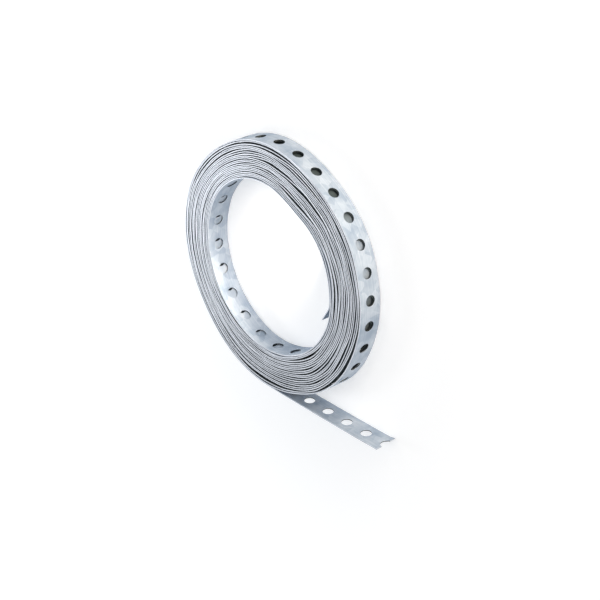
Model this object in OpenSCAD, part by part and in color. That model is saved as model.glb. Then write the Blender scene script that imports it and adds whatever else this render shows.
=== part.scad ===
// A coil of galvanised perforated strap, lying on its end, because on its rim it would roll away.
// The loose outer end runs straight on from the outer turn, and the inner end springs free inside
// the eye. Both ends are cut through a hole.
//
// Frame: the coil's axis stands along Z, the loose end points to +X and the floor is z = 0.
// The origin is on the floor, in the middle of the part's length and breadth.
//
// The turns are a true spiral made of half circles. Those on the left, where x is least, are drawn
// about one centre. Those on the right are drawn about a centre half a turn's rise further along Y,
// and are smaller by as much, so that each half turn runs straight on into the next.

/* [Strap] */
// Width of the strap
strap_w = 17; // [12:0.5:40]
// Thickness of the steel
strap_t = 0.8; // [0.5:0.1:2]
// Diameter of the holes
hole_d = 7.5; // [4:0.1:9]
// Distance from one hole to the next, along the strap
hole_pitch = 18.4; // [12:0.1:40]

/* [Coil] */
// Diameter of the open eye
eye_d = 125.6; // [80:0.2:240]
// Number of turns
turns = 21; // [5:1:40]
// Air between one turn and the next
turn_gap = 0.47; // [0.2:0.01:1.2]
// How far in the gaps between the turns run from each side, the middle being closed
gap_depth = 3.5; // [1:0.1:5]

/* [Loose outer end] */
// Length from the end of the outer turn, level with the coil's axis along X, to the cut
tail_l = 107; // [60:1:240]

/* [Free inner end] */
// Outer radius of the curl in which the inner end leaves its turn, level with the coil's axis along Y
curl_r = 16.4; // [10:0.2:40]
// Angle of that curl, from there to the cut
curl_a = 60; // [30:1:90]

/* [Hidden] */
$fn = 120;

// Each turn lies this much further in than the last
turn_pitch = strap_t + turn_gap;
// Outer radius of the left half turns and of the right half turns
left_r = eye_d / 2 + (turns - 1) * turn_pitch + strap_t;
right_r = left_r - turn_pitch / 2;
// Inner radius of the innermost half turn on each side
left_eye_r = eye_d / 2;
right_eye_r = left_eye_r - turn_pitch / 2;
// Where the two centres stand along Y, and where both stand along X
left_y = 0;
right_y = turn_pitch / 2;
axis_x = (left_r - max(tail_l, right_r)) / 2;
// Cuts run past the steel by less than the air that lies beyond it
past = turn_gap / 2;
// Width of the closed middle of the coil
core_w = strap_w - 2 * gap_depth;

// Lengths along the middle of the steel: each half of the outer turn, the curl, and the innermost
// turn from the curl to the far side, from there to the near side, and from there to the curl again
outer_left_l = arc_l(180, left_r - strap_t / 2);
outer_right_l = arc_l(180, right_r - strap_t / 2);
curl_l = arc_l(curl_a, curl_r - strap_t / 2);
inner_right_l = arc_l(90, right_eye_r + strap_t / 2);
inner_left_l = arc_l(180, left_eye_r + strap_t / 2);
inner_last_l = arc_l(90, right_eye_r + turn_pitch + strap_t / 2);

// Holes counted along the strap, each end's cut being hole number 0
tail_holes = floor(tail_l / hole_pitch);
outer_holes = floor((tail_l + outer_left_l + outer_right_l) / hole_pitch);
curl_holes = floor(curl_l / hole_pitch);
inner_holes = floor((curl_l + inner_right_l + inner_left_l + inner_last_l) / hole_pitch);

function arc_l(angle, r) = r * angle * PI / 180;
function arc_a(length, r) = length / r * 180 / PI;

// Section across count turns, from the innermost at radius r outwards: a closed middle,
// and on each side a slot between each turn and the next
function slots(count, r, outer, inner) = [
    for (i = [0 : count - 2]) let (from = r + i * turn_pitch + strap_t, to = from + turn_gap)
        each [[from, outer], [from, inner], [to, inner], [to, outer]]
];
function reversed(list) = [for (i = [len(list) - 1 : -1 : 0]) list[i]];
function section(count, r) = let (end = r + (count - 1) * turn_pitch + strap_t, half = strap_w / 2)
    concat(
        [[r, half]], slots(count, r, half, core_w / 2), [[end, half], [end, -half]],
        reversed(slots(count, r, -half, -core_w / 2)), [[r, -half]]
    );

// Puts its children at an angle round a centre of the coil, their +X pointing out from that centre
module around(centre_y, angle) {
    translate([axis_x, centre_y, 0]) rotate([0, 0, angle]) children();
}

// Part of a ring round a centre, from one angle to another
module sweep(from, to) {
    rotate([0, 0, from]) rotate_extrude(angle = to - from) children();
}

// A hole seen from one side of the strap, cut along X from x = from to x = to
module hole_cut(from, to) {
    translate([from, 0, 0]) rotate([0, 90, 0]) cylinder(d = hole_d, h = to - from);
}

// The wound turns. On the right the innermost one stops halfway round, where the inner end leaves it
module turns_wound() {
    translate([axis_x, left_y, 0]) sweep(90, 270) polygon(section(turns, left_eye_r));
    translate([axis_x, right_y, 0]) {
        sweep(0, 90) polygon(section(turns, right_eye_r));
        sweep(-90, 0) polygon(section(turns - 1, right_eye_r + turn_pitch));
    }
}

// The free inner end, curling into the eye
module inner_end() {
    translate([axis_x + right_eye_r + strap_t - curl_r, right_y, 0])
        sweep(0, -curl_a) translate([curl_r - strap_t, -strap_w / 2]) square([strap_t, strap_w]);
}

// The loose outer end, standing on its edge as the turns do
module tail() {
    translate([axis_x, left_y - left_r, -strap_w / 2]) cube([tail_l, strap_t, strap_w]);
}

// Holes of the loose end, and the half hole at its cut
module tail_hole_cuts() {
    for (i = [0 : tail_holes])
        translate([axis_x + tail_l - i * hole_pitch, left_y - left_r, 0])
            rotate([0, 0, 90]) hole_cut(-past, strap_t + past);
}

// Holes of the outermost turn, open down to the turn below
module outer_hole_cuts() {
    for (i = [tail_holes + 1 : outer_holes]) {
        along = i * hole_pitch - tail_l;
        left = along < outer_left_l;
        r = left ? left_r : right_r;
        angle = left ? 270 - arc_a(along, r - strap_t / 2)
                     : 90 - arc_a(along - outer_left_l, r - strap_t / 2);
        around(left ? left_y : right_y, angle) hole_cut(r - turn_pitch, r + past);
    }
}

// Holes of the innermost turn, open out to the turn behind
module inner_hole_cuts() {
    for (i = [curl_holes + 1 : inner_holes]) {
        along = i * hole_pitch - curl_l;
        right = along < inner_right_l;
        left = !right && along < inner_right_l + inner_left_l;
        r = right ? right_eye_r : left ? left_eye_r : right_eye_r + turn_pitch;
        angle = right ? arc_a(along, r + strap_t / 2)
              : left ? 90 + arc_a(along - inner_right_l, r + strap_t / 2)
              : 270 + arc_a(along - inner_right_l - inner_left_l, r + strap_t / 2);
        around(left ? left_y : right_y, angle) hole_cut(r - strap_t, r + turn_pitch);
    }
}

// Holes of the curl, and the half hole at its cut
module curl_hole_cuts() {
    for (i = [0 : curl_holes])
        translate([axis_x + right_eye_r + strap_t - curl_r, right_y, 0])
            rotate([0, 0, arc_a(i * hole_pitch, curl_r - strap_t / 2) - curl_a])
                hole_cut(curl_r - 2 * strap_t, curl_r + strap_t);
}

// The whole strap, one piece of steel, its lower edge on the floor
module strap() {
    color("lightsteelblue") translate([0, 0, strap_w / 2]) difference() {
        union() {
            turns_wound();
            tail();
            inner_end();
        }
        tail_hole_cuts();
        outer_hole_cuts();
        inner_hole_cuts();
        curl_hole_cuts();
    }
}

strap();
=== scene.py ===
import math

import bmesh
import bpy
import numpy as np
from mathutils import Matrix, Vector


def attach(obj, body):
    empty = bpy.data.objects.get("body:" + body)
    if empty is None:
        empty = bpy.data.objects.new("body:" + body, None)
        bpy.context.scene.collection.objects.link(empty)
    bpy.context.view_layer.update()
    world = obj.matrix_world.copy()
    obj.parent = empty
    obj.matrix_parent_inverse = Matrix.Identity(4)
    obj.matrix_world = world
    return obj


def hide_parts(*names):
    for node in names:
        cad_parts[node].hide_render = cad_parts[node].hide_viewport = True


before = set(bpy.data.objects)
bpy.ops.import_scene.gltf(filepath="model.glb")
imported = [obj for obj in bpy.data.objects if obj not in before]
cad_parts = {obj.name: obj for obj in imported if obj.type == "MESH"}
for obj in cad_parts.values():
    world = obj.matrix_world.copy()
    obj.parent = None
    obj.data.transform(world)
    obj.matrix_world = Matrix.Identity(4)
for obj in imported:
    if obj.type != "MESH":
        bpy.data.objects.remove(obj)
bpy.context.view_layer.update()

view = {
    "eye": (0.6877, 0.4736, 0.6103),  # metres, in the part's own frame
    "aim": (-0.009, 0.0, 0.0085),     # the middle of the coil
    "lens": 93.34,                    # mm
    "sensor": 36,                     # mm wide
    "shift": (0.0375, -0.0574),       # puts the coil left of and above the picture's middle
}


def makeCamera(view):
    # The picture's upward direction lies along +Y, across the coil that lies on the floor
    lens = bpy.data.cameras.new("viewCamera")
    lens.lens = view["lens"]
    lens.sensor_width = view["sensor"]
    lens.clip_start = 0.01
    lens.shift_x = view["shift"][0]
    lens.shift_y = view["shift"][1]
    camera = bpy.data.objects.new("viewCamera", lens)
    bpy.context.scene.collection.objects.link(camera)
    back = (Vector(view["eye"]) - Vector(view["aim"])).normalized()
    right = Vector((0, 1, 0)).cross(back).normalized()
    turned = Matrix((right, back.cross(right), back)).transposed()
    camera.matrix_world = Matrix.Translation(view["eye"]) @ turned.to_4x4()
    bpy.context.scene.camera = camera


makeCamera(view)
print("camera made")


millimetre = 0.001     # metres

strap = {              # millimetres
    "width": 17.0,
    "thick": 0.8,
    "hole": 7.5,
    "pitch": 18.4,     # from one hole to the next
    "corner": 0.09,    # bevel along the slit edges and round the holes
    "kink": 0.04,      # how far the steel stands out at a hole, where it bends most easily
    "prong": (1.1, 6, 4),  # how far one prong of the cut outer end is bent, over what length and width
}

coil = {                    # millimetres, with angles in degrees from +X towards +Y
    "axisX": -9.0,
    "radius": 89.3,         # to the outside of the outer turn where it begins
    "eye": 60.65,           # to the middle of the steel at the end of the last turn
    "turns": 20.75,         # wound clockwise from the loose outer end
    "tail": 107.0,          # the length of that end
    "tailLift": 2.0,        # how far its tip has sprung from the straight
    "endBend": 32.0,        # how far the inner end turns into the eye
    "endBendLength": 8.0,
    "endLength": 20.2,      # to the middle of its last hole
    "endCut": 3.2,          # how far short of that middle it is cut
    # where the coil and its eye are wider or narrower: amount, angle, spread in degrees
    "outerSwells": ((2.4, 28, 30), (1.1, 92, 20), (-1.4, 132, 27), (-1.4, -142, 25), (1.4, -101, 25)),
    "eyeSwells": ((2.9, 138, 42), (1.0, -160, 40), (-1.2, -52, 25), (-3.4, 64, 18)),
    "waves": 24,            # how many make the winding uneven
    "seed": 55,
    "uneven": 1.05,         # contrast between tight and slack stretches
    "lean": (0.4, 15),      # how much more of it one side has, and less the other, and at what angle
    "cutOff": (-1.5, 1.3),  # the least and the most that the wave sum may be
    "least": 0.14,          # what every gap has before the slack is shared out
    "rise": 0.55,           # how far the turns stand above one another on the upper end
    "fine": (1125, 815),    # lengths in view after the tail and before the inner cut, made of finer webs
    "dull": (545, 810),     # where the painted shade on hidden faces begins after the tail, and stops before the inner cut
    "fade": 60,             # over how much the painted shade comes in and goes
    # where the painted shade is lifted, as light falls in through holes: how far past the tail, how far to
    # each side, how much
    "shadeLifted": ((1469, 24, 1.0), (1513, 20, 0.35)),
    "openSpread": 0.33,     # turns over which an open gap is shared
    # gaps that stand open: turns in from the outside, angle, spread in degrees, millimetres
    "openGaps": (
        (0, -30, 26, 1.6), (1, -8, 22, 0.4), (2, -12, 26, 0.35),
        (0, -88, 14, 0.5), (1, -86, 20, 0.7), (2, -90, 22, 0.7), (3, -80, 22, 0.6), (5, -84, 22, 0.6),
        (6, -70, 16, 0.35), (7, -78, 18, 0.45), (9, -62, 16, 0.4), (10, -74, 14, 0.35),
        (12, -56, 16, 0.4), (14, -66, 14, 0.35), (16, -52, 14, 0.3),
        (0, -128, 16, 0.6), (1, -126, 20, 0.5),
        (1, 128, 22, 0.5), (2, 134, 22, 0.5), (4, 126, 20, 0.5), (6, 112, 20, 0.4), (9, 104, 20, 0.4),
        (1, 62, 24, 0.5), (2, 50, 24, 0.5), (9, 40, 22, 0.2), (13, 44, 24, 0.3),
        (3, 20, 22, 0.35), (5, 12, 20, 0.35), (18, 48, 22, 0.45), (19, 54, 22, 0.5),
    ),
}


def angleAway(angle, at):
    # The shorter way round, from -180 to 180
    return (angle - at + 180) % 360 - 180


def swell(angle, at, wide):
    # A bell round the coil: e to the power of minus the square of the angle away over the spread
    return np.exp(-(angleAway(angle, at) / wide) ** 2)


def edgeOf(angle, base, swells):
    # A radius with its swells added
    return base + sum(amount * swell(angle, at, wide) for amount, at, wide in swells)


def waveSum(turn, angle, draw, count):
    # Cosine waves over turns wound and angle, with drawn pitches and starts, scaled to a spread of one
    total = 0
    for _ in range(count):
        perTurn = draw.uniform(0.15, 0.5)  # waves from one turn to the next
        roundCoil = draw.integers(-9, 10)  # waves round the coil
        start = draw.uniform(0, 2 * math.pi)
        total = total + np.cos(2 * math.pi * perTurn * turn + roundCoil * np.radians(angle) + start)
    return total * math.sqrt(2 / count)


def windingRadius(coil, strap, turn, angle):
    # Radius of the middle of the steel. It falls each turn by one thickness, the least gap, any gap that
    # stands open, and slack. The slack is e to the power of the wave sum, scaled at each angle so that the
    # last turn ends on the edge of the eye. It is worked out on a grid of turns by degrees.
    rowCount = 520
    rows = np.linspace(0, coil["turns"], rowCount)[:, None]
    columns = np.arange(-180.0, 181.0)[None, :]
    draw = np.random.default_rng(coil["seed"])
    waves = np.clip(waveSum(rows, columns, draw, coil["waves"]), *coil["cutOff"])
    lean, towards = coil["lean"]
    contrast = coil["uneven"] * (1 + lean * np.cos(np.radians(columns - towards)))
    slack = np.exp(contrast * waves)
    opened = np.zeros_like(slack)
    narrow = coil["openSpread"]
    for layer, at, wide, gap in coil["openGaps"]:
        away = angleAway(columns, at)
        middle = layer + 0.5 + (-90 - at) % 360 / 360 - away / 360
        ridge = np.exp(-((rows - middle) / narrow) ** 2 - (away / wide) ** 2)
        opened += gap * ridge / (narrow * math.sqrt(math.pi))

    def upTo(rate):
        # What a rate has added up to at each row
        steps = np.cumsum((rate[1:] + rate[:-1]) / 2, axis=0) * (rows[1, 0] - rows[0, 0])
        return np.vstack([np.zeros((1, rate.shape[1])), steps])

    outer = edgeOf(columns, coil["radius"], coil["outerSwells"]) - strap["thick"] / 2
    step = strap["thick"] + coil["least"]
    room = outer - step * coil["turns"] - edgeOf(columns, coil["eye"], coil["eyeSwells"])
    openSum = upTo(opened)
    slackSum = upTo(slack)
    scale = (room - openSum[-1]) / slackSum[-1]
    grid = outer - step * rows - openSum - slackSum * scale
    row = turn / coil["turns"] * (rowCount - 1)
    low = np.minimum(row.astype(int), rowCount - 2)
    up = row - low
    column = (angle + 180) % 360
    left = column.astype(int)
    over = column - left
    lower = grid[low, left] * (1 - over) + grid[low, left + 1] * over
    upper = grid[low + 1, left] * (1 - over) + grid[low + 1, left + 1] * over
    return lower * (1 - up) + upper * up


def smooth(values, reach):
    # A running mean, weighted by one arch of a raised cosine
    window = np.hanning(2 * reach + 3)[1:-1]
    padded = np.pad(values, reach, mode="edge")
    return np.convolve(padded, window / window.sum(), mode="valid")


def strapPath(coil, strap):
    # The middle of the steel from the outer cut to the inner one: a straight, a spiral, and a bend into the
    # eye. A small bulge of the middle turns makes the length a whole number of hole pitches.
    pointsPerTurn = 720
    tailStep = 0.4
    endStep = 0.2
    turn = np.linspace(0, coil["turns"], int(coil["turns"] * pointsPerTurn))
    angle = -90 - 360 * turn
    radius = smooth(windingRadius(coil, strap, turn, angle), reach=4)
    wound = turn / coil["turns"]
    bulge = 4 * wound * (1 - wound)
    endAlong = np.arange(endStep, coil["endLength"] + endStep / 2, endStep)
    ease = np.clip(endAlong / coil["endBendLength"], 0, 1)
    bend = np.radians(coil["endBend"]) * ease * ease * (3 - 2 * ease)

    def lay(amount):
        spread = radius + amount * bulge
        x = spread * np.cos(np.radians(angle))
        y = spread * np.sin(np.radians(angle))
        tailX = np.arange(coil["tail"], tailStep / 2, -tailStep)
        tailY = y[0] + tailX * (y[4] - y[0]) / (x[4] - x[0])  # runs straight on from the first points
        tailY = tailY + coil["tailLift"] * (tailX / coil["tail"]) ** 2
        last = math.atan2(x[-1] - x[-4], y[-4] - y[-1])       # the way that the last points head
        endX = x[-1] + np.cumsum(np.sin(last - bend)) * endStep
        endY = y[-1] - np.cumsum(np.cos(last - bend)) * endStep
        x = np.concatenate([tailX, x, endX]) + coil["axisX"]
        y = np.concatenate([tailY, y, endY])
        along = np.concatenate([[0], np.cumsum(np.hypot(np.diff(x), np.diff(y)))])
        return x, y, along

    trial = 0.1
    lengths = [lay(amount)[2][-1] for amount in (0.0, trial)]
    holes = round(lengths[0] / strap["pitch"])
    x, y, along = lay((holes * strap["pitch"] - lengths[0]) / (lengths[1] - lengths[0]) * trial)
    heading = np.unwrap(np.arctan2(np.gradient(y, along), np.gradient(x, along)))
    draw = np.random.default_rng(coil["seed"] + 1)
    riseBegins = 0.4  # turns over which the rise comes in after the tail
    # half way up, give or take a third of the wave sum
    rise = np.clip(0.5 + waveSum(turn, angle, draw, coil["waves"]) / 3, 0, 1.3)
    rise = rise * np.clip(turn / riseBegins, 0, 1)
    ends = (len(along) - len(turn) - len(endAlong), len(endAlong))
    rise = coil["rise"] * smooth(np.pad(rise, ends, mode="edge"), reach=30)
    print("strap %.1f mm long, %d pitches of its holes" % (along[-1], holes))
    gaps = radius - np.interp(turn + 1, turn, radius) - strap["thick"]
    gaps = gaps[turn < coil["turns"] - 1]
    print("gaps between turns %.3f to %.3f mm" % (gaps.min(), gaps.max()))
    return {"x": x, "y": y, "heading": heading, "rise": rise, "along": along, "holes": holes}


def gridFaces(rows, columns, first):
    # Quads between neighbouring rows and columns of a grid of points
    corner = (np.arange(rows - 1)[:, None] * columns + np.arange(columns - 1)).ravel() + first
    return np.stack([corner, corner + 1, corner + columns + 1, corner + columns], axis=1)


def webShape(strap, side, middle):
    # The steel between the middles of two holes, as (along, across, through). In each half, columns run
    # from the half hole's rim out to the rectangle round it, and strips close the two slit edges. The cut
    # of a face is 0 on the strap's two sides, 1 on a sheared edge and 2 on the wall of a hole.
    half = strap["pitch"] / 2
    through = strap["thick"] / 2
    bevel = strap["corner"]
    edge = strap["width"] / 2 - bevel
    corner = math.atan2(edge, half)
    legs = [np.linspace(-math.pi / 2, -corner, side + 1), np.linspace(-corner, corner, middle + 1)]
    turn = np.concatenate([legs[0][:-1], legs[1], -legs[0][-2::-1]])
    leg = np.linspace(0, half, side + 1)
    along = np.concatenate([leg[:-1], np.full(middle + 1, half), leg[-2::-1]])
    legAcross = np.full(side, edge)
    across = np.concatenate([-legAcross, np.linspace(-edge, edge, middle + 1), legAcross])
    rim = strap["hole"] / 2

    def ring(reach, depth):
        return np.stack([reach * np.cos(turn), reach * np.sin(turn), np.full(len(turn), depth)], axis=1)

    def border(depth):
        return np.stack([along, across, np.full(len(turn), depth)], axis=1)

    rows = [border(through), ring(rim + bevel, through), ring(rim, through - bevel)]
    rows += [row * (1, 1, -1) for row in rows[::-1]]
    points = [np.concatenate(rows)]
    count = len(turn)
    faces = [gridFaces(len(rows), count, 0)]
    cut = [np.repeat([0, 0, 2, 0, 0], count - 1)]
    first = len(rows) * count
    for sign in (-1, 1):
        strip = [(edge, through), (edge + bevel, through - bevel)]
        strip += [(width, -depth) for width, depth in strip[::-1]]
        strips = [np.stack([leg, np.full(side + 1, sign * width), np.full(side + 1, depth)], axis=1)
                  for width, depth in strip]
        points.append(np.concatenate(strips))
        faces.append(gridFaces(len(strip), side + 1, first))
        cut.append(np.ones((len(strip) - 1) * side, int))
        first += len(strip) * (side + 1)
    points = np.concatenate(points)
    faces = np.concatenate(faces)
    cut = np.concatenate(cut)
    mirrored = points * (-1, 1, 1) + (strap["pitch"], 0, 0)
    return (np.concatenate([points, mirrored]), np.concatenate([faces, faces[:, ::-1] + len(points)]),
            np.concatenate([cut, cut]))


def cutAcross(work, faces, path, along):
    # Takes off what lies beyond a place along the strap, square across it
    x, y, heading = (np.interp(along, path["along"], path[key]) for key in ("x", "y", "heading"))
    parts = set(faces)
    parts.update(edge for face in faces for edge in face.edges)
    parts.update(corner for face in faces for corner in face.verts)
    bmesh.ops.bisect_plane(
        work, geom=list(parts), dist=1e-7, clear_outer=True,
        plane_co=(x * millimetre, y * millimetre, 0), plane_no=(math.cos(heading), math.sin(heading), 0))


def strapMesh(name, coil, strap, path):
    # Webs are laid end to end along the path: a point goes along it, out by its depth in the steel, and up
    # by its place across the width. The turns in view have finer webs.
    end = path["along"][-1]
    starts = np.arange(path["holes"]) * strap["pitch"]
    shown = (starts < coil["tail"] + coil["fine"][0]) | (starts > end - coil["fine"][1])
    prongBend, prongLength, prongWidth = strap["prong"]
    sidesApart = 50  # times the depth in the steel, so that its two sides have patterns of their own
    fineWeb = (4, 8)  # faces along a side of a half web, and across its middle
    plainWeb = (2, 4)
    vertices, faces, cuts, places, shades = [], [], [], [], []
    first = 0
    webSizes = []
    for chosen, (side, middle) in ((starts[shown], fineWeb), (starts[~shown], plainWeb)):
        web, webFaces, webCut = webShape(strap, side, middle)
        webSizes.append(len(webFaces))
        along = (chosen[:, None] + web[:, 0]).ravel()
        across = np.tile(web[:, 1], len(chosen))
        through = np.tile(web[:, 2], len(chosen))
        heading = np.interp(along, path["along"], path["heading"])
        out = through + strap["kink"] * np.cos(2 * math.pi * along / strap["pitch"])
        bent = np.clip(1 - along / prongLength, 0, 1) ** 2 * np.clip(-across / prongWidth, 0, 1)
        out = out - prongBend * bent
        x = np.interp(along, path["along"], path["x"]) - out * np.sin(heading)
        y = np.interp(along, path["along"], path["y"]) + out * np.cos(heading)
        z = strap["width"] / 2 + across + np.interp(along, path["along"], path["rise"])
        vertices.append(np.stack([x, y, z], axis=1) * millimetre)
        places.append(np.stack([along, across, through * sidesApart], axis=1))
        wound = along - coil["tail"]
        # Painted shade for the turns that the coil hides, lifted where light falls in through holes
        inside = np.clip((wound - coil["dull"][0]) / coil["fade"], 0, 1)
        inside *= np.clip((end - coil["dull"][1] - along) / coil["fade"], 0, 1)
        for at, reach, amount in coil["shadeLifted"]:
            inside *= 1 - amount * np.exp(-((wound - at) / reach) ** 4)
        shades.append(inside)
        copies = np.arange(len(chosen))[:, None, None] * len(web)
        faces.append((webFaces + copies).reshape(-1, 4) + first)
        cuts.append(np.tile(webCut, len(chosen)))
        first += len(along)
    mesh = bpy.data.meshes.new(name)
    mesh.from_pydata(np.concatenate(vertices).tolist(), [], np.concatenate(faces).tolist())
    mesh.polygons.foreach_set("material_index", np.concatenate(cuts).astype(np.int32))
    place = mesh.attributes.new("strapPlace", "FLOAT_VECTOR", "POINT")
    place.data.foreach_set("vector", np.concatenate(places).astype(np.float32).ravel())
    shade = mesh.attributes.new("strapShade", "FLOAT", "POINT")
    shade.data.foreach_set("value", np.concatenate(shades).astype(np.float32))
    work = bmesh.new()
    work.from_mesh(mesh)
    work.faces.ensure_lookup_table()
    lastFace = webSizes[0] * shown.sum()
    lastWeb = work.faces[lastFace - webSizes[0]:lastFace]
    cutAcross(work, lastWeb, path, end - coil["endCut"])
    weldWithin = 2e-6  # metres
    bmesh.ops.remove_doubles(work, verts=work.verts, dist=weldWithin)
    openEdges = [edge for edge in work.edges if edge.is_boundary]
    capped = bmesh.ops.holes_fill(work, edges=openEdges, sides=0)["faces"]
    for face in capped:
        face.material_index = 1
    bmesh.ops.recalc_face_normals(work, faces=work.faces)
    loose = sum(not edge.is_manifold for edge in work.edges)
    work.to_mesh(mesh)
    work.free()
    mesh.polygons.foreach_set("use_smooth", np.ones(len(mesh.polygons), bool))
    mesh.set_sharp_from_angle(angle=math.radians(30))
    mesh.calc_loop_triangles()
    print("%d triangles, %d caps, %d open edges" % (len(mesh.loop_triangles), len(capped), loose))
    return mesh


class Wire:
    # One shader socket. Sums on it add Math nodes, and node() adds any other kind of node.
    def __init__(self, tree, socket=None):
        self.tree = tree
        self.socket = socket

    def plug(self, target, value):
        if isinstance(value, Wire):
            self.tree.links.new(value.socket, target)
        elif target.type == "RGBA":
            target.default_value = (*value, 1)
        else:
            target.default_value = value

    def node(self, kind, settings, inputs, output=0):
        made = self.tree.nodes.new(kind)
        for key, value in settings.items():
            setattr(made, key, value)
        for key, value in inputs.items():
            self.plug(made.inputs[key], value)
        return Wire(self.tree, made.outputs[output])

    def math(self, operation, first, second):
        return self.node("ShaderNodeMath", {"operation": operation}, {0: first, 1: second})

    def __add__(self, other):
        return self.math("ADD", self, other)

    def __sub__(self, other):
        return self.math("SUBTRACT", self, other)

    def __rsub__(self, other):
        return self.math("SUBTRACT", other, self)

    def __mul__(self, other):
        return self.math("MULTIPLY", self, other)

    __radd__ = __add__
    __rmul__ = __mul__

    def atMost(self, other):
        return self.math("MINIMUM", self, other)

    def atLeast(self, other):
        return self.math("MAXIMUM", self, other)

    def clamped(self):
        return self.atLeast(0.0).atMost(1.0)

    def moved(self, by):
        return self.node("ShaderNodeVectorMath", {"operation": "ADD"}, {0: self, 1: by})

    def stretched(self, sizes):
        return self.node("ShaderNodeVectorMath", {"operation": "MULTIPLY"}, {0: self, 1: sizes})

    def mixed(self, first, second):
        return self.node("ShaderNodeMix", {"data_type": "RGBA"}, {0: self, 6: first, 7: second}, 2)

    def noise(self, scale, detail, rough):
        return self.node("ShaderNodeTexNoise", {},
                         {"Vector": self, "Scale": scale, "Detail": detail, "Roughness": rough})


def newMaterial(name):
    material = bpy.data.materials.new(name)
    material.use_nodes = True
    tree = material.node_tree
    tree.nodes.clear()
    return material, Wire(tree)


def finish(wire, shader):
    output = wire.tree.nodes.new("ShaderNodeOutputMaterial")
    wire.tree.links.new(shader.socket, output.inputs["Surface"])


zinc = {
    "dark": (0.278, 0.345, 0.432),
    "light": (0.505, 0.56, 0.625),
    "bright": (0.62, 0.65, 0.68),     # where streaks are rubbed
    "inside": (0.085, 0.11, 0.12),    # painted shade for the faces that the coil hides, out of the light
    "rough": 0.74,
    "shift": (2510, 320, 0),          # which stretch of the pattern comes first
    "cloud": (0.055, 1.8),            # cycles a millimetre, and weight in the tone
    "flake": (0.16, 0.3),             # the same
    "streak": ((0.03, 1.1, 1), 0.8),  # the same, drawn out along the strap
    "grain": 0.9,
    "tone": 0.45,                     # the middle one, from dark to light
    "rubbed": (0.6, 5, 0.45),         # streak at which it begins, how fast it grows, and the most of it
    "roughCloud": 0.16,
    "roughFlake": 0.08,
    "relief": (0.10, 0.0001),         # strength, and depth in metres
}


def galvanisedFace(zinc):
    # The tone is clouds, streaks and flakes, each less its middle and times its weight
    material, wire = newMaterial("galvanisedFace")
    place = wire.node("ShaderNodeAttribute", {"attribute_name": "strapPlace"}, {}, 1)
    place = place.moved(zinc["shift"])
    cloudScale, cloudWeight = zinc["cloud"]
    flakeScale, flakeWeight = zinc["flake"]
    streakScale, streakWeight = zinc["streak"]
    cloud = place.noise(cloudScale, detail=3, rough=0.6)
    spangle = wire.node("ShaderNodeTexVoronoi", {"feature": "F1"},
                        {"Vector": place, "Scale": flakeScale}, 1)
    flake = wire.node("ShaderNodeSeparateColor", {}, {"Color": spangle})
    streak = place.stretched(streakScale).noise(1.0, detail=4, rough=0.6)
    grain = place.noise(zinc["grain"], detail=2, rough=0.5)
    tone = (cloud - 0.5) * cloudWeight + (streak - 0.5) * streakWeight + (flake - 0.5) * flakeWeight
    base = (tone + zinc["tone"]).clamped().mixed(zinc["dark"], zinc["light"])
    begins, growth, most = zinc["rubbed"]
    rubbed = ((streak - begins) * growth).clamped()
    base = (rubbed * most).mixed(base, zinc["bright"])
    # Painted shade on the faces that the coil hides
    shade = wire.node("ShaderNodeAttribute", {"attribute_name": "strapShade"}, {}, 2)
    base = shade.mixed(base, zinc["inside"])
    rough = zinc["rough"] + (cloud - 0.5) * zinc["roughCloud"] - (flake - 0.5) * zinc["roughFlake"]
    strength, depth = zinc["relief"]
    height = streak * 0.5 + grain * 0.5
    bump = wire.node("ShaderNodeBump", {}, {"Height": height, "Strength": strength, "Distance": depth})
    shader = wire.node("ShaderNodeBsdfPrincipled", {}, {
        "Base Color": base, "Roughness": rough, "Metallic": 1.0, "Normal": bump})
    finish(wire, shader)
    return material


edges = {
    "dull": (0.27, 0.295, 0.33),
    "shear": (0.655, 0.69, 0.75),
    "rough": 0.57,
    "roughScore": 0.2,
    "patch": (0.045, 1.6),              # cycles a millimetre, and weight in the tone
    "score": ((0.9, 0.3, 0.05), 0.8),   # the same, across the edge
    "tone": 0.62,                       # the middle one, from dull to shear
    "paintedWallShade": (0.08, 0.09, 0.095),        # painted shade on the walls of the punched holes
    "wallRough": 0.6,
}


def shearedEdge(edges):
    # The tone is patches and scores, each less its middle and times its weight
    material, wire = newMaterial("shearedEdge")
    place = wire.node("ShaderNodeAttribute", {"attribute_name": "strapPlace"}, {}, 1)
    patchScale, patchWeight = edges["patch"]
    scoreScale, scoreWeight = edges["score"]
    patch = place.noise(patchScale, detail=3, rough=0.6)
    score = place.stretched(scoreScale).noise(1.0, detail=2, rough=0.5)
    tone = (patch - 0.5) * patchWeight + (score - 0.5) * scoreWeight + edges["tone"]
    base = tone.clamped().mixed(edges["dull"], edges["shear"])
    rough = edges["rough"] + (score - 0.5) * edges["roughScore"]
    shader = wire.node("ShaderNodeBsdfPrincipled", {}, {
        "Base Color": base, "Roughness": rough, "Metallic": 1.0})
    finish(wire, shader)
    return material


# The walls of the punched holes, painted in shade
def paintedShadeHoleWall(edges):
    material, wire = newMaterial("paintedShadeHoleWall")
    shader = wire.node("ShaderNodeBsdfPrincipled", {}, {
        "Base Color": edges["paintedWallShade"], "Roughness": edges["wallRough"], "Metallic": 1.0})
    finish(wire, shader)
    return material


path = strapPath(coil, strap)
strapCoil = bpy.data.objects.new("strapCoil", strapMesh("strapCoil", coil, strap, path))
strapCoil.data.materials.append(galvanisedFace(zinc))
strapCoil.data.materials.append(shearedEdge(edges))
strapCoil.data.materials.append(paintedShadeHoleWall(edges))
bpy.context.scene.collection.objects.link(strapCoil)
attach(strapCoil, "root")
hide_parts("strap")
print("strap made")


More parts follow.
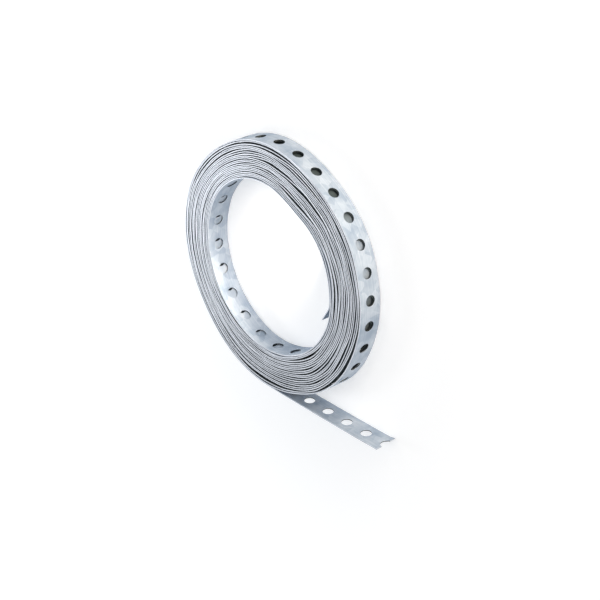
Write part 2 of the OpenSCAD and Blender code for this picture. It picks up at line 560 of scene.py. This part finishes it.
studio = {
    "floorColour": (0.82, 0.82, 0.83),
    "floorReach": 6.0,          # metres to each side
    "floorDrop": 0.00005,       # metres below the strap, so that the two don't share a plane
    # what the floor adds where it is seen, so that it stays white: near the coil, and far off
    "floorGlow": (0.34, 0.64),
    "glowReach": (0.14, 0.60),  # metres from the middle at which near ends and far begins
    "sky": 0.50,                # the soft light from all round
    "skyColour": (0.93, 0.97, 1.0),
    "lamps": (                  # name, place, what it points at, width, height, spread, watts, colour
        ("keyLamp", (0.71, 0.70, 0.06), (0.0, 0.0, 0.01),
         1.4, 0.08, 180, 21.0, (1.0, 0.84, 0.66)),
        ("topLamp", (-0.2, 0.1, 1.2), (0.0, 0.0, 0.0),
         0.9, 0.9, 180, 3.0, (1.0, 1.0, 1.0)),
        ("faceLamp", (-0.41, -0.14, 0.278), (0.0, 0.0, 0.0),
         0.14, 0.14, 180, 0.48, (1.0, 1.0, 1.0)),
        ("eyeLamp", (0.014, 0.046, 0.010), (-0.068, -0.024, 0.009),
         0.06, 0.010, 70, 0.038, (1.0, 0.85, 0.70)),
    ),
}


def seenBy(wire):
    # One where the camera or a mirror ray looks, and nought where light is gathered
    rays = wire.tree.nodes.new("ShaderNodeLightPath")
    camera = Wire(wire.tree, rays.outputs["Is Camera Ray"])
    glossy = Wire(wire.tree, rays.outputs["Is Glossy Ray"])
    through = Wire(wire.tree, rays.outputs["Is Transmission Ray"])
    return camera.atLeast(glossy).atLeast(through)


def makeStudio(studio):
    bpy.context.scene.view_settings.view_transform = "Standard"
    world = bpy.data.worlds.new("studioWorld")
    bpy.context.scene.world = world
    world.use_nodes = True
    world.node_tree.nodes.clear()
    wire = Wire(world.node_tree)
    seen = seenBy(wire)
    strength = seen * (1 - studio["sky"]) + studio["sky"]
    colour = seen.mixed(studio["skyColour"], (1, 1, 1))
    sky = wire.node("ShaderNodeBackground", {}, {"Color": colour, "Strength": strength})
    output = world.node_tree.nodes.new("ShaderNodeOutputWorld")
    world.node_tree.links.new(sky.socket, output.inputs["Surface"])

    material, wire = newMaterial("paleFloor")
    matt = wire.node("ShaderNodeBsdfDiffuse", {}, {"Color": studio["floorColour"]})
    place = wire.node("ShaderNodeTexCoord", {}, {}, "Object")
    away = wire.node("ShaderNodeVectorMath", {"operation": "LENGTH"}, {0: place}, "Value")
    near, far = studio["glowReach"]
    distance = ((away - near) * (1 / (far - near))).clamped()
    low, high = studio["floorGlow"]
    strength = seenBy(wire) * (distance * (high - low) + low)
    glow = wire.node("ShaderNodeEmission", {}, {"Color": (1, 1, 1), "Strength": strength})
    finish(wire, wire.node("ShaderNodeAddShader", {}, {0: matt, 1: glow}))
    reach = studio["floorReach"]
    corners = [(-reach, -reach, 0), (reach, -reach, 0), (reach, reach, 0), (-reach, reach, 0)]
    plane = bpy.data.meshes.new("paleFloor")
    plane.from_pydata(corners, [], [(0, 1, 2, 3)])
    plane.transform(Matrix.Translation((0, 0, -studio["floorDrop"])))
    plane.materials.append(material)
    floor = bpy.data.objects.new("paleFloor", plane)
    bpy.context.scene.collection.objects.link(floor)
    for name, place, aim, width, height, spread, watts, colour in studio["lamps"]:
        lamp = bpy.data.lights.new(name, "AREA")
        lamp.shape = "RECTANGLE"
        lamp.size = width
        lamp.size_y = height
        lamp.spread = math.radians(spread)
        lamp.energy = watts
        lamp.color = colour
        holder = bpy.data.objects.new(name, lamp)
        bpy.context.scene.collection.objects.link(holder)
        holder.location = place
        holder.visible_camera = False
        towards = Vector(aim) - Vector(place)
        holder.rotation_euler = towards.to_track_quat("-Z", "Y").to_euler()


makeStudio(studio)
print("studio made")
